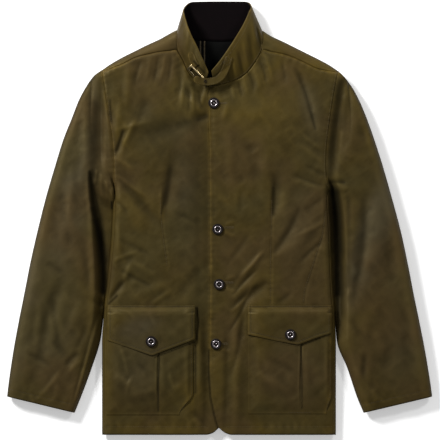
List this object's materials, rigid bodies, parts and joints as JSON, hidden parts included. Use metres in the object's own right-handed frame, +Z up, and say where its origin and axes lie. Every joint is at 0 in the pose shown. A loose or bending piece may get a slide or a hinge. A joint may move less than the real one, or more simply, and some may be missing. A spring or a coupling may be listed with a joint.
{
  "type": "waxed cotton jacket",
  "caption": "Hip-length olive waxed cotton jacket laid flat: standing collar with a buckled throat strap, buttoned front, flapped patch pockets and plain open cuffs.",
  "frame": {"origin": "centre of the bounding box, on the surface the jacket lies on", "axes": "+X towards the wearer's left, +Y from hem to collar, +Z up from the surface"},
  "size_m": [0.8294, 0.8455, 0.0582],
  "materials": {
    "waxed_cotton": "olive brown waxed cotton, mottled, with a low waxy sheen",
    "plum_cord": "dark plum brown fine cord, matte",
    "dark_lining": "near-black woven lining with thin pale stripes, matte",
    "brass": "polished brass",
    "dark_horn": "dark horn-look plastic with a pale metal ring"
  },
  "bodies": {
    "root": {"back": "waxed_cotton", "front_right": "waxed_cotton", "front_left": "waxed_cotton", "sleeve_right": "waxed_cotton", "sleeve_left": "waxed_cotton", "collar": "waxed_cotton", "collar_lining": "plum_cord", "neck_lining": "dark_lining", "pocket_right": "waxed_cotton", "pocket_left": "waxed_cotton", "flap_right": "waxed_cotton", "flap_left": "waxed_cotton", "button_1": "dark_horn", "button_2": "dark_horn", "button_3": "dark_horn", "button_4": "dark_horn", "flap_button_right": "dark_horn", "flap_button_left": "dark_horn", "collar_tab": "waxed_cotton", "throat_strap": "waxed_cotton", "buckle": "brass"}
  },
  "joints": []
}
